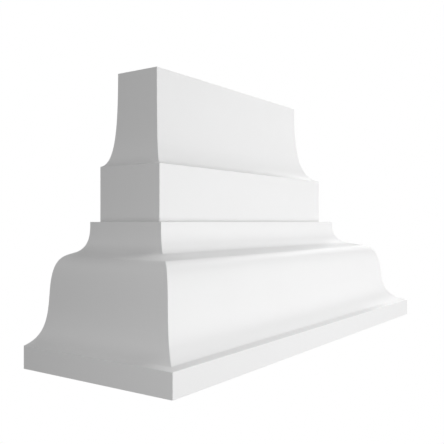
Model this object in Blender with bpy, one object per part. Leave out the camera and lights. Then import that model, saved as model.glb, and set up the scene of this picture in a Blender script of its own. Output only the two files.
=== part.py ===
"""A pilaster capital, moulded in one piece.

It stands on its wide end with its flat back to the wall. From the plinth upwards its section is
a hollow, a rounded shoulder, a small hollow under a ledge, a plain band, and a throat that sweeps
up to the narrow end, where the shaft of the pilaster meets it. The section runs along the front
and returns along both sides, mitred at the two front corners, and it is cut square at the wall.

Lengths are in metres and +Z is up. The front faces -Y and the back +Y. The origin is on the
underside, at the middle of the width and of the depth.
"""

import math

import bmesh
import bpy
from mathutils import Matrix, Vector
from mathutils.geometry import interpolate_bezier

# The shaft that the narrow end meets
SHAFT_WIDTH = 0.2
SHAFT_DEPTH = 0.0375

# Heights of the members, from the wide end to the narrow end
PLINTH_HEIGHT = 0.0144
FOOT_HOLLOW_HEIGHT = 0.0318
SHOULDER_HEIGHT = 0.0244
NECK_HOLLOW_HEIGHT = 0.0209
BAND_HEIGHT = 0.039
THROAT_HEIGHT = 0.0695

# How far each member steps in from the one below it, alike on the front and the sides
FOOT_HOLLOW_STEP = 0.0201
SHOULDER_STEP = 0.0204
NECK_HOLLOW_STEP = 0.0148
LEDGE_STEP = 0.0096
THROAT_STEP = 0.0176

# Slopes of the section, in degrees above level
FOOT_SLOPE = 12.5
WAIST_SLOPE = 85.0
CREST_SLOPE = 9.5
THROAT_FOOT_SLOPE = 12.0
UPRIGHT = 90.0

# Each curved member has a pull at its lower and at its upper end. A pull is how far the curve
# holds to its tangent there, as a share of the way to the corner where its two tangents meet.
FOOT_HOLLOW_PULLS = (0.98, 0.57)
SHOULDER_PULLS = (1.0, 0.59)
NECK_HOLLOW_PULLS = (1.0, 0.42)
THROAT_PULLS = (0.74, 0.72)

# Flat facets along each curved member
CURVE_FACETS = 24

# Edges that turn more than this, in degrees, stay crisp
CRISP_ANGLE = 30.0

FULL_STEP = FOOT_HOLLOW_STEP + SHOULDER_STEP + NECK_HOLLOW_STEP + LEDGE_STEP + THROAT_STEP
WIDTH = SHAFT_WIDTH + 2 * FULL_STEP
DEPTH = SHAFT_DEPTH + FULL_STEP

WHITE_PRIMER = (0.88, 0.88, 0.87, 1.0)
PRIMER_ROUGHNESS = 0.6


def clear_scene():
    """Removes the objects that the file opens with."""
    for obj in list(bpy.data.objects):
        bpy.data.objects.remove(obj)


def direction(slope):
    """Returns the unit vector in the section that climbs inwards at a slope in degrees."""
    angle = math.radians(slope)
    return Vector((math.cos(angle), math.sin(angle)))


def sweep(points, step, height, slopes, pulls):
    """Adds a curved member to the section, from its last point to one that is further in and up.

    The curve is a cubic that leaves and arrives at the two slopes. Its two tangents meet at a
    corner, and each handle reaches towards that corner by its pull.
    """
    start = points[-1]
    end = start + Vector((step, height))
    leaving, arriving = (direction(slope) for slope in slopes)
    corner = start + leaving * ((end - start).cross(arriving) / leaving.cross(arriving))
    handles = (start.lerp(corner, pulls[0]), end.lerp(corner, pulls[1]))
    curve = interpolate_bezier(start, *handles, end, CURVE_FACETS + 1)
    points.extend(Vector(point[:2]) for point in curve[1:])


def step_by(points, step, height):
    """Adds a straight stretch to the section."""
    points.append(points[-1] + Vector((step, height)))


def section():
    """Returns the section from the plinth's upper edge to the narrow end.

    Each point holds how far it lies inside the plinth's face, and its height.
    """
    points = [Vector((0.0, PLINTH_HEIGHT))]
    sweep(points, FOOT_HOLLOW_STEP, FOOT_HOLLOW_HEIGHT, (FOOT_SLOPE, WAIST_SLOPE), FOOT_HOLLOW_PULLS)
    sweep(points, SHOULDER_STEP, SHOULDER_HEIGHT, (WAIST_SLOPE, CREST_SLOPE), SHOULDER_PULLS)
    sweep(points, NECK_HOLLOW_STEP, NECK_HOLLOW_HEIGHT, (CREST_SLOPE, UPRIGHT), NECK_HOLLOW_PULLS)
    step_by(points, LEDGE_STEP, 0.0)
    step_by(points, 0.0, BAND_HEIGHT)
    sweep(points, THROAT_STEP, THROAT_HEIGHT, (THROAT_FOOT_SLOPE, UPRIGHT), THROAT_PULLS)
    return points


def shape_outline(face, inset, height):
    """Moves the corners of a level face to the block's outline at this inset and height.

    The two back corners stay in the plane of the wall, at y = 0 in the mesh.
    """
    for corner in face.verts:
        corner.co.x = math.copysign(WIDTH / 2 - inset, corner.co.x)
        if corner.co.y < -SHAFT_DEPTH / 2:
            corner.co.y = inset - DEPTH
        corner.co.z = height


def build_block():
    """Returns the mesh: the plinth as a box, its top extruded from point to point of the section."""
    block = bmesh.new()
    middle = Vector((0.0, -DEPTH / 2, PLINTH_HEIGHT / 2))
    plinth = Matrix.LocRotScale(middle, None, Vector((WIDTH, DEPTH, PLINTH_HEIGHT)))
    bmesh.ops.create_cube(block, size=1.0, matrix=plinth)
    top = max(block.faces, key=lambda face: face.calc_center_median().z)
    for inset, height in section()[1:]:
        top = bmesh.ops.extrude_discrete_faces(block, faces=[top])["faces"][0]
        shape_outline(top, inset, height)
    mesh = bpy.data.meshes.new("capital")
    block.to_mesh(mesh)
    block.free()
    mesh.shade_smooth()
    mesh.set_sharp_from_angle(angle=math.radians(CRISP_ANGLE))
    return mesh


def white_primer():
    """Returns the matt white factory primer that covers the whole block."""
    material = bpy.data.materials.new("white primer")
    material.use_nodes = True
    shader = material.node_tree.nodes["Principled BSDF"]
    shader.inputs["Base Color"].default_value = WHITE_PRIMER
    shader.inputs["Roughness"].default_value = PRIMER_ROUGHNESS
    shader.inputs["Metallic"].default_value = 0.0
    return material


def main():
    """Builds the capital in a collection of its own, with its origin in the middle of its depth."""
    clear_scene()
    collection = bpy.data.collections.new("pilaster capital")
    bpy.context.scene.collection.children.link(collection)
    capital = bpy.data.objects.new("capital", build_block())
    capital.location.y = DEPTH / 2
    capital.data.materials.append(white_primer())
    collection.objects.link(capital)


main()
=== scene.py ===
"""Dresses the pilaster capital, and sets the floor, the lights and the camera round it.

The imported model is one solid, with its section in flat facets and every edge sharp. One finished
piece replaces it here. It keeps the size and the section, draws the curves finely, eases the
arrises as a mould leaves them, and carries the white primer that covers the real casting.

Lengths are in metres and +Z is up. The front faces -Y, and the back lies against the wall at +Y.
"""

import logging
import math
from collections.abc import Callable
from dataclasses import dataclass, field
from enum import Enum

import bmesh
import bpy
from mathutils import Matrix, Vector
from mathutils.geometry import interpolate_bezier


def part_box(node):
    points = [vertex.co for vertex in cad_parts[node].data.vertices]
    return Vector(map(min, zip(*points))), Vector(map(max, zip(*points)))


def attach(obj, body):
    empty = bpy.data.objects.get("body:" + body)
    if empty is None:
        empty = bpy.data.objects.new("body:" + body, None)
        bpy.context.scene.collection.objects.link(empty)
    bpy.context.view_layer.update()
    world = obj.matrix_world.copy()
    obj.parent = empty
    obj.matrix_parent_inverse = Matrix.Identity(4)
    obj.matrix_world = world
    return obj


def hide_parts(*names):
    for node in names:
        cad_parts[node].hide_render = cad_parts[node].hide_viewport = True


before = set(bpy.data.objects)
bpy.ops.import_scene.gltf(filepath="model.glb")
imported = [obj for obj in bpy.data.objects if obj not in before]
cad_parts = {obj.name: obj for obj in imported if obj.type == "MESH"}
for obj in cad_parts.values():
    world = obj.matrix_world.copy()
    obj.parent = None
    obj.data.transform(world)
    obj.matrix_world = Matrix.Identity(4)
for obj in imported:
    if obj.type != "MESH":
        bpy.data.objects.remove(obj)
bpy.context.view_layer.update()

logging.basicConfig(level=logging.INFO, format="%(message)s")
log = logging.getLogger("capital")

BODY = "root"
SOLID = "capital"

# Two places this close, in metres, count as one, and so do two directions whose cosine is this near 1.
HAIR = 1e-6

# The slopes where the members of the section meet, in degrees above level.
FOOT_SLOPE = 12.5
WAIST_SLOPE = 85.0
CREST_SLOPE = 9.5
THROAT_FOOT_SLOPE = 12.0
UPRIGHT = 90.0

# The profile that makes a bevel a true arc.
ROUND_PROFILE = 0.5

# The tilt in degrees at which a camera looks level. At a tilt of 0 it looks straight down.
LEVEL_TILT = 90.0


def slope_vector(slope: float) -> Vector:
    """Returns the unit vector in the section that climbs inwards at a slope in degrees."""
    angle = math.radians(slope)
    return Vector((math.cos(angle), math.sin(angle)))


def compass_vector(azimuth: float, elevation: float) -> Vector:
    """Works out a direction from the capital.

    Args:
        azimuth: Degrees round from the front, positive towards +X.
        elevation: Degrees above level.

    Returns:
        The unit vector in that direction.
    """
    turn = math.radians(azimuth)
    lift = math.radians(elevation)
    level = math.cos(lift)
    return Vector((math.sin(turn) * level, -math.cos(turn) * level, math.sin(lift)))


def grey(tone: float) -> tuple[float, float, float, float]:
    """Returns the neutral colour of one brightness."""
    return (tone, tone, tone, 1.0)


def deselect_all() -> None:
    """Leaves no object selected, so that the next operator acts on the new one alone."""
    bpy.ops.object.select_all(action="DESELECT")


class Element(Enum):
    """The elements of a mesh that can be selected in edit mode."""

    VERTEX = "VERT"
    EDGE = "EDGE"
    FACE = "FACE"


@dataclass(frozen=True)
class Member:
    """One curved member of the section.

    Attributes:
        step: How far it goes in.
        height: How far it rises.
        slopes: Its slopes at the lower and the upper end, in degrees above level.
        pulls: How far it holds to its tangent at each end, as a share of the way to the corner
            where the two tangents meet.
        facets: How many straight facets draw it.
    """

    step: float
    height: float
    slopes: tuple[float, float]
    pulls: tuple[float, float]
    facets: int = 48

    def points(self, start: Vector) -> list[Vector]:
        """Works out the curve.

        Args:
            start: Its lower end, as inset and height.

        Returns:
            The points above the lower end, up to the upper end.
        """
        end = start + Vector((self.step, self.height))
        leaving, arriving = (slope_vector(slope) for slope in self.slopes)
        corner = start + leaving * ((end - start).cross(arriving) / leaving.cross(arriving))
        handles = (start.lerp(corner, self.pulls[0]), end.lerp(corner, self.pulls[1]))
        curve = interpolate_bezier(start, *handles, end, self.facets + 1)
        return [Vector(point[:2]) for point in curve[1:]]


@dataclass
class Section:
    """The moulded section, in insets from the plinth's face and heights above the underside.

    Attributes:
        plinth_height: The plain plinth at the wide end.
        foot_hollow: The hollow above the plinth.
        shoulder: The rounded shoulder above that.
        neck_hollow: The small hollow under the ledge.
        ledge_step: The level ledge at the band's foot.
        band_height: The plain band.
        throat: The long hollow that dies into the narrow end.
        arris: The radius of an eased outer edge.
        fillet: The radius in the corner between the ledge and the band.
        arc_facets: How many facets draw an eased edge.
    """

    plinth_height: float = 0.0144
    foot_hollow: Member = Member(0.0201, 0.0318, (FOOT_SLOPE, WAIST_SLOPE), (0.98, 0.57))
    shoulder: Member = Member(0.0204, 0.0244, (WAIST_SLOPE, CREST_SLOPE), (1.0, 0.59))
    neck_hollow: Member = Member(0.0148, 0.0209, (CREST_SLOPE, UPRIGHT), (1.0, 0.42))
    ledge_step: float = 0.0096
    band_height: float = 0.039
    throat: Member = Member(0.0176, 0.0695, (THROAT_FOOT_SLOPE, UPRIGHT), (0.74, 0.72), facets=72)
    arris: float = 0.0002
    fillet: float = 0.00015
    arc_facets: int = 4

    def sharp_outline(self) -> list[tuple[Vector, float]]:
        """Works out the section with its corners sharp.

        Returns:
            Each point with the radius that its corner gets, which is nothing along a curve.
        """
        foot = Vector((0.0, self.plinth_height))
        outline = [(Vector((0.0, 0.0)), self.arris), (foot, self.arris)]
        point = foot
        for member in (self.foot_hollow, self.shoulder, self.neck_hollow):
            outline += [(drawn, 0.0) for drawn in member.points(point)]
            point = outline[-1][0]
        outline[-1] = (point, self.arris)
        band_foot = point + Vector((self.ledge_step, 0.0))
        band_top = band_foot + Vector((0.0, self.band_height))
        outline += [(band_foot, self.fillet), (band_top, self.arris)]
        outline += [(drawn, 0.0) for drawn in self.throat.points(band_top)]
        outline[-1] = (outline[-1][0], self.arris)
        return outline

    def eased_corner(self, before: Vector, corner: Vector, after: Vector, radius: float) -> list[Vector]:
        """Rounds one corner.

        Args:
            before: The point before the corner.
            corner: The sharp corner.
            after: The point after the corner.
            radius: The radius of the arc.

        Returns:
            The points of the arc that takes the corner's place.
        """
        back = (before - corner).normalized()
        onward = (after - corner).normalized()
        half = back.angle(onward) / 2
        centre = corner + (back + onward).normalized() * (radius / math.sin(half))
        reach = radius / math.tan(half)
        first = (corner + back * reach - centre).normalized()
        last = (corner + onward * reach - centre).normalized()
        shares = (facet / self.arc_facets for facet in range(self.arc_facets + 1))
        return [centre + first.slerp(last, share) * radius for share in shares]

    def rings(self, middle: float) -> list[Vector]:
        """Works out the section as the casting has it.

        Args:
            middle: An inset that is well inside the narrow end.

        Returns:
            The inset and height of each ring of the casting, from the underside to the narrow end.
        """
        outline = self.sharp_outline()
        corners = [Vector((middle, 0.0))] + [corner for corner, _ in outline]
        corners.append(Vector((middle, corners[-1].y)))
        rings: list[Vector] = []
        for index, (corner, radius) in enumerate(outline):
            if radius > 0.0:
                rings += self.eased_corner(corners[index], corner, corners[index + 2], radius)
            else:
                rings.append(corner)
        return rings


@dataclass(frozen=True)
class Primer:
    """The white primer that the factory sprays on the casting, with a slight sheen.

    Attributes:
        name: The material's name.
        light_tone: The paler of its two tones.
        dark_tone: The darker one, where the coat is a little thinner.
        cloud: The width of a patch of one tone.
        cloud_layers: How many finer layers the patches of tone have.
        roughness: The least and the greatest roughness.
        dull_share: How many patches of one roughness lie across a patch of one tone.
        dull_layers: How many finer layers the patches of roughness have.
        peel: The pitch of the sprayed coat's soft ripple.
        peel_depth: The depth of that ripple.
        peel_layers: How many finer layers the ripple has.
        grain: The pitch of the fine grain on it.
        grain_depth: The depth of the grain.
        grain_layers: How many finer layers the grain has.
        specular: The strength of its sheen.
    """

    name: str = "white primer"
    light_tone: float = 0.885
    dark_tone: float = 0.875
    cloud: float = 0.07
    cloud_layers: float = 2.0
    roughness: tuple[float, float] = (0.37, 0.43)
    dull_share: float = 3.0
    dull_layers: float = 3.0
    peel: float = 0.0021
    peel_depth: float = 0.000004
    peel_layers: float = 1.0
    grain: float = 0.0003
    grain_depth: float = 0.0000015
    grain_layers: float = 0.0
    specular: float = 0.5

    def noise(
        self, nodes: bpy.types.Nodes, links: bpy.types.NodeLinks, pitch: float, layers: float
    ) -> bpy.types.NodeSocket:
        """Adds a noise pattern in the casting's own coordinates.

        Args:
            nodes: The material's nodes.
            links: The material's links.
            pitch: The width of one patch of the noise.
            layers: How many finer layers it has.

        Returns:
            The pattern's value, from 0 to 1.
        """
        place = nodes.new("ShaderNodeTexCoord")
        pattern = nodes.new("ShaderNodeTexNoise")
        pattern.inputs["Scale"].default_value = 1.0 / pitch
        pattern.inputs["Detail"].default_value = layers
        links.new(place.outputs["Object"], pattern.inputs["Vector"])
        return pattern.outputs["Fac"]

    def ripple(
        self,
        nodes: bpy.types.Nodes,
        links: bpy.types.NodeLinks,
        height: bpy.types.NodeSocket,
        depth: float,
    ) -> bpy.types.Node:
        """Adds a bump.

        Args:
            nodes: The material's nodes.
            links: The material's links.
            height: The pattern that raises and lowers the surface.
            depth: The height between its lowest and highest places.

        Returns:
            The bump node.
        """
        bump = nodes.new("ShaderNodeBump")
        bump.inputs["Strength"].default_value = 1.0
        bump.inputs["Distance"].default_value = depth
        links.new(height, bump.inputs["Height"])
        return bump

    def material(self) -> bpy.types.Material:
        """Returns the primer as a material."""
        material = bpy.data.materials.new(self.name)
        material.use_nodes = True
        nodes, links = material.node_tree.nodes, material.node_tree.links
        shader = nodes["Principled BSDF"]
        shader.inputs["Metallic"].default_value = 0.0
        shader.inputs["Specular IOR Level"].default_value = self.specular

        cloud = self.noise(nodes, links, self.cloud, self.cloud_layers)
        tone = nodes.new("ShaderNodeMix")
        tone.data_type = "RGBA"
        tone.inputs["A"].default_value = grey(self.dark_tone)
        tone.inputs["B"].default_value = grey(self.light_tone)
        links.new(cloud, tone.inputs["Factor"])
        links.new(tone.outputs["Result"], shader.inputs["Base Color"])

        dullness = nodes.new("ShaderNodeMapRange")
        dullness.inputs["To Min"].default_value = min(self.roughness)
        dullness.inputs["To Max"].default_value = max(self.roughness)
        patches = self.noise(nodes, links, self.cloud / self.dull_share, self.dull_layers)
        links.new(patches, dullness.inputs["Value"])
        links.new(dullness.outputs["Result"], shader.inputs["Roughness"])

        waves = self.noise(nodes, links, self.peel, self.peel_layers)
        peel = self.ripple(nodes, links, waves, self.peel_depth)
        specks = self.noise(nodes, links, self.grain, self.grain_layers)
        grain = self.ripple(nodes, links, specks, self.grain_depth)
        links.new(peel.outputs["Normal"], grain.inputs["Normal"])
        links.new(grain.outputs["Normal"], shader.inputs["Normal"])
        return material


@dataclass
class Casting:
    """The capital itself, one moulding from the plinth to the narrow end.

    Attributes:
        low: The lowest corner of the solid that it replaces.
        high: The highest corner of that solid.
        section: The section that runs round its front and sides.
        mitre_radius: The radius of the two mitred corners at the front, where they turn sharply.
        mitre_facets: How many facets draw such a rounded corner.
        crisp_angle: The turn in degrees above which an edge is crisp. The mitres turn less than
            this where the section lies nearly level, and there the two sides run into each other.
        faces: The primer on the moulded faces.
        back: The primer on the flat back, where the coat is thinner and rougher.
    """

    low: Vector
    high: Vector
    section: Section = field(default_factory=Section)
    mitre_radius: float = 0.0002
    mitre_facets: int = 4
    crisp_angle: float = 30.0
    faces: Primer = field(default_factory=Primer)
    back: Primer = Primer(
        name="thin white primer",
        light_tone=0.87,
        dark_tone=0.82,
        cloud=0.035,
        roughness=(0.68, 0.8),
        peel=0.004,
        peel_depth=0.00006,
        grain=0.0005,
        grain_depth=0.000012,
        specular=0.35,
    )

    @property
    def half_width(self) -> float:
        """Half the width of the plinth."""
        return (self.high.x - self.low.x) / 2

    @property
    def depth(self) -> float:
        """The depth of the plinth, from its front to the wall."""
        return self.high.y - self.low.y

    def plinth_block(self, lower: Vector, upper: Vector) -> bpy.types.Object:
        """Adds the plain part of the plinth as a cube, and opens it in edit mode.

        Args:
            lower: The ring at its lower edge.
            upper: The ring at its upper edge.

        Returns:
            The new object.
        """
        deselect_all()
        middle = (0.0, (self.low.y + self.high.y) / 2, (lower.y + upper.y) / 2)
        size = (2 * self.half_width, self.depth, upper.y - lower.y)
        bpy.ops.mesh.primitive_cube_add(size=1.0, location=middle, scale=size)
        bpy.ops.object.transform_apply(location=True, rotation=True, scale=True)
        casting = bpy.context.object
        casting.name = casting.data.name = "capital_casting"
        bpy.ops.object.mode_set(mode="EDIT")
        bpy.ops.mesh.select_mode(type="FACE")
        return casting

    def select(self, casting: bpy.types.Object, element: Element, test: Callable[..., bool]) -> None:
        """Selects the vertices, edges or faces that pass a test, and no others.

        Args:
            casting: The object in edit mode.
            element: Which of the three are tested.
            test: Says whether one of them is wanted.
        """
        bpy.ops.mesh.select_mode(type=element.value)
        bpy.ops.mesh.select_all(action="DESELECT")
        mesh = bmesh.from_edit_mesh(casting.data)
        tested = {Element.VERTEX: mesh.verts, Element.EDGE: mesh.edges, Element.FACE: mesh.faces}
        for item in tested[element]:
            if test(item):
                item.select_set(True)
        bmesh.update_edit_mesh(casting.data)

    def extrude_rings(self, casting: bpy.types.Object, rings: list[Vector]) -> None:
        """Extrudes one end of the casting from ring to ring, with its back held at the wall.

        Args:
            casting: The object in edit mode.
            rings: The ring that the end has now, and those that it gets, in order.
        """
        upwards = 1.0 if rings[-1].y > rings[0].y else -1.0
        self.select(casting, Element.FACE, lambda face: face.normal.z * upwards > 1.0 - HAIR)
        for ring, following in zip(rings, rings[1:]):
            rise = (0.0, 0.0, following.y - ring.y)
            bpy.ops.mesh.extrude_region_move(TRANSFORM_OT_translate={"value": rise})
            narrowing = (self.half_width - following.x) / (self.half_width - ring.x)
            thinning = (self.depth - following.x) / (self.depth - ring.x)
            bpy.ops.transform.resize(
                value=(narrowing, thinning, 1.0), center_override=(0.0, self.high.y, following.y)
            )

    def at_wall(self, vertex: bmesh.types.BMVert) -> bool:
        """Says whether a vertex lies in the plane of the wall."""
        return vertex.co.y > self.high.y - HAIR

    def on_mitre(self, edge: bmesh.types.BMEdge) -> bool:
        """Says whether an edge runs up one of the two front corners."""
        one, other = edge.verts
        return one.co.x * other.co.x > 0 and not self.at_wall(one) and not self.at_wall(other)

    def on_crisp_mitre(self, edge: bmesh.types.BMEdge) -> bool:
        """Says whether an edge runs up a front corner and turns sharply."""
        return self.on_mitre(edge) and edge.calc_face_angle(0.0) > math.radians(self.crisp_angle)

    def on_soft_mitre(self, vertex: bmesh.types.BMVert) -> bool:
        """Says whether a vertex lies on a front corner where it doesn't turn sharply."""
        edges = [edge for edge in vertex.link_edges if self.on_mitre(edge)]
        return bool(edges) and not any(self.on_crisp_mitre(edge) for edge in edges)

    def round_mitres(self, casting: bpy.types.Object) -> None:
        """Rounds the front corners where they turn sharply, and groups the vertices where they don't.

        Args:
            casting: The object in edit mode.
        """
        self.select(casting, Element.VERTEX, self.on_soft_mitre)
        bpy.ops.object.vertex_group_add()
        bpy.ops.object.vertex_group_assign()
        self.select(casting, Element.EDGE, self.on_crisp_mitre)
        bpy.ops.mesh.bevel(
            affect="EDGES",
            offset=self.mitre_radius,
            segments=self.mitre_facets,
            profile=ROUND_PROFILE,
            clamp_overlap=False,
        )

    def dress(self, casting: bpy.types.Object) -> None:
        """Gives the casting its two coats of primer.

        Args:
            casting: The object in edit mode.
        """
        coats = (self.faces, self.back)
        for coat in coats:
            casting.data.materials.append(coat.material())
        self.select(casting, Element.FACE, lambda face: face.normal.y > 1.0 - HAIR)
        casting.active_material_index = coats.index(self.back)
        bpy.ops.object.material_slot_assign()

    def shade(self, casting: bpy.types.Object) -> None:
        """Shades the curves smooth and keeps the flats flat.

        Args:
            casting: The finished mesh, in object mode.
        """
        deselect_all()
        casting.select_set(True)
        bpy.context.view_layer.objects.active = casting
        bpy.ops.object.shade_smooth_by_angle(angle=math.radians(self.crisp_angle))
        weighting = casting.modifiers.new("flat faces first", "WEIGHTED_NORMAL")
        weighting.mode = "FACE_AREA"
        weighting.keep_sharp = True
        weighting.vertex_group = casting.vertex_groups[0].name
        weighting.invert_vertex_group = True
        bpy.ops.object.modifier_apply(modifier=weighting.name)
        bpy.ops.object.vertex_group_remove(all=True)

    def build(self) -> bpy.types.Object:
        """Returns the finished casting."""
        rings = self.section.rings(middle=self.depth)
        upright = next(index for index, ring in enumerate(rings) if ring.x < HAIR)
        casting = self.plinth_block(rings[upright], rings[upright + 1])
        self.extrude_rings(casting, rings[upright + 1 :])
        self.extrude_rings(casting, rings[upright::-1])
        self.round_mitres(casting)
        self.dress(casting)
        bpy.ops.object.mode_set(mode="OBJECT")
        self.shade(casting)
        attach(casting, BODY)
        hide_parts(SOLID)
        return casting


@dataclass
class Floor:
    """The plain white floor, evenly lit, which shows no shadow.

    Attributes:
        level: Its height.
        size: The length of its side.
        gap: How far it lies below the underside.
        brightness: Its even brightness, where 1 is white.
    """

    level: float
    size: float = 40.0
    gap: float = 0.0002
    brightness: float = 1.0

    def build(self) -> bpy.types.Object:
        """Returns the floor."""
        deselect_all()
        bpy.ops.mesh.primitive_plane_add(size=self.size, location=(0.0, 0.0, self.level - self.gap))
        floor = bpy.context.object
        floor.name = "studio_floor"
        material = bpy.data.materials.new("lit white floor")
        material.use_nodes = True
        nodes, links = material.node_tree.nodes, material.node_tree.links
        nodes.remove(nodes["Principled BSDF"])
        glow = nodes.new("ShaderNodeEmission")
        glow.inputs["Strength"].default_value = self.brightness
        links.new(glow.outputs["Emission"], nodes["Material Output"].inputs["Surface"])
        floor.data.materials.append(material)
        floor.visible_diffuse = False
        floor.visible_glossy = False
        floor.visible_shadow = False
        return floor


class LampShape(Enum):
    """The kinds of lamp in the studio."""

    SOFTBOX = "AREA"
    DISTANT = "SUN"


@dataclass(frozen=True)
class Lamp:
    """One lamp of the studio.

    Attributes:
        name: What it does.
        shape: Its kind.
        azimuth: Degrees round from the front, positive towards +X.
        elevation: Degrees above level.
        strength: How bright it makes a white card that faces it at the capital, where 1 is white.
        distance: How far a softbox stands from the capital.
        size: The side of a softbox.
        spread: The angle that a distant lamp fills, in degrees.
    """

    name: str
    shape: LampShape
    azimuth: float
    elevation: float
    strength: float
    distance: float = 0.6
    size: float = 0.3
    spread: float = 24.0

    def hang(self, target: Vector) -> bpy.types.Object:
        """Adds the lamp.

        Args:
            target: The point that it faces.

        Returns:
            The lamp's object.
        """
        towards = compass_vector(self.azimuth, self.elevation)
        light = bpy.data.lights.new(self.name, self.shape.value)
        if self.shape is LampShape.SOFTBOX:
            light.shape = "SQUARE"
            light.size = self.size
            light.energy = self.strength * (math.pi * self.distance) ** 2
        else:
            light.angle = math.radians(self.spread)
            light.energy = self.strength * math.pi
        lamp = bpy.data.objects.new(self.name, light)
        lamp.location = target + towards * self.distance
        lamp.rotation_euler = towards.to_track_quat("Z", "Y").to_euler()
        bpy.context.scene.collection.objects.link(lamp)
        return lamp


@dataclass(frozen=True)
class LargeSoftbox(Lamp):
    """A softbox as large as a window, further from the capital."""

    distance: float = 1.2
    size: float = 0.8


@dataclass
class Studio:
    """The white surroundings and the soft lamps.

    Attributes:
        target: The point that the lamps face.
        backdrop: The brightness of the white behind the capital.
        ambient: The brightness of the surroundings as they light the capital.
        lamps: The lamps, with round strengths.
    """

    target: Vector
    backdrop: float = 1.0
    ambient: float = 0.275
    lamps: tuple[Lamp, ...] = (
        Lamp("left softbox", LampShape.SOFTBOX, -60.0, -3.0, 0.15),
        Lamp("front softbox", LampShape.SOFTBOX, 0.0, -5.0, 0.26),
        LargeSoftbox("right window", LampShape.SOFTBOX, 60.0, 10.0, 0.15),
        LargeSoftbox("high right window", LampShape.SOFTBOX, 90.0, 45.0, 0.2),
        LargeSoftbox("low right reflector", LampShape.SOFTBOX, 60.0, -30.0, 0.15),
        LargeSoftbox("high left rear window", LampShape.SOFTBOX, -135.0, 45.0, 0.05),
        Lamp("right front wall", LampShape.DISTANT, 40.0, 0.0, 0.1),
        Lamp("right wall", LampShape.DISTANT, 60.0, 0.0, 0.06),
        Lamp("upper right wall", LampShape.DISTANT, 60.0, 20.0, 0.07),
        Lamp("right rear wall", LampShape.DISTANT, 100.0, 20.0, 0.1),
        Lamp("right skylight", LampShape.DISTANT, 100.0, 60.0, 0.05),
        Lamp("ceiling", LampShape.DISTANT, 180.0, 80.0, 0.05),
        Lamp("rear wall", LampShape.DISTANT, 180.0, 0.0, 0.4, spread=2.0),
    )

    def light_surroundings(self) -> None:
        """Makes the surroundings white to the camera, and softer as they light the capital."""
        world = bpy.data.worlds.new("white surroundings")
        bpy.context.scene.world = world
        world.use_nodes = True
        nodes, links = world.node_tree.nodes, world.node_tree.links
        path = nodes.new("ShaderNodeLightPath")
        brightness = nodes.new("ShaderNodeMapRange")
        brightness.inputs["To Min"].default_value = self.ambient
        brightness.inputs["To Max"].default_value = self.backdrop
        links.new(path.outputs["Is Camera Ray"], brightness.inputs["Value"])
        background = nodes["Background"]
        background.inputs["Color"].default_value = grey(1.0)
        links.new(brightness.outputs["Result"], background.inputs["Strength"])

    def build(self) -> None:
        """Lights the studio."""
        self.light_surroundings()
        for lamp in self.lamps:
            lamp.hang(self.target)
            log.info("lamp %s: %s", lamp.name, lamp.shape.name.lower())
        bpy.context.scene.view_settings.view_transform = "Standard"


@dataclass
class PhotoCamera:
    """The camera of the photo, level and at the height of the ledge.

    Attributes:
        place: Where it stands.
        heading: Degrees that it looks round from +Y, positive towards +X.
        lens: Its focal length in millimetres.
        sensor: The width of its sensor in millimetres.
    """

    place: Vector = field(default_factory=lambda: Vector((-0.426328, -0.261917, 0.091456)))
    heading: float = 54.949
    lens: float = 50.036
    sensor: float = 36.0

    def build(self) -> bpy.types.Object:
        """Returns the camera, which becomes the scene's own."""
        data = bpy.data.cameras.new("photo camera")
        data.lens = self.lens
        data.sensor_width = self.sensor
        camera = bpy.data.objects.new("photo camera", data)
        camera.location = self.place
        camera.rotation_euler = (math.radians(LEVEL_TILT), 0.0, math.radians(-self.heading))
        bpy.context.scene.collection.objects.link(camera)
        bpy.context.scene.camera = camera
        return camera


def main() -> None:
    """Builds the capital and the studio round it."""
    low, high = (Vector(corner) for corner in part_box(SOLID))
    casting = Casting(low, high).build()
    log.info("piece %s: %d faces", casting.name, len(casting.data.polygons))
    floor = Floor(level=low.z).build()
    log.info("stage %s", floor.name)
    Studio(target=Vector((0.0, 0.0, (low.z + high.z) / 2))).build()
    PhotoCamera().build()


if __name__ == "__main__":
    main()
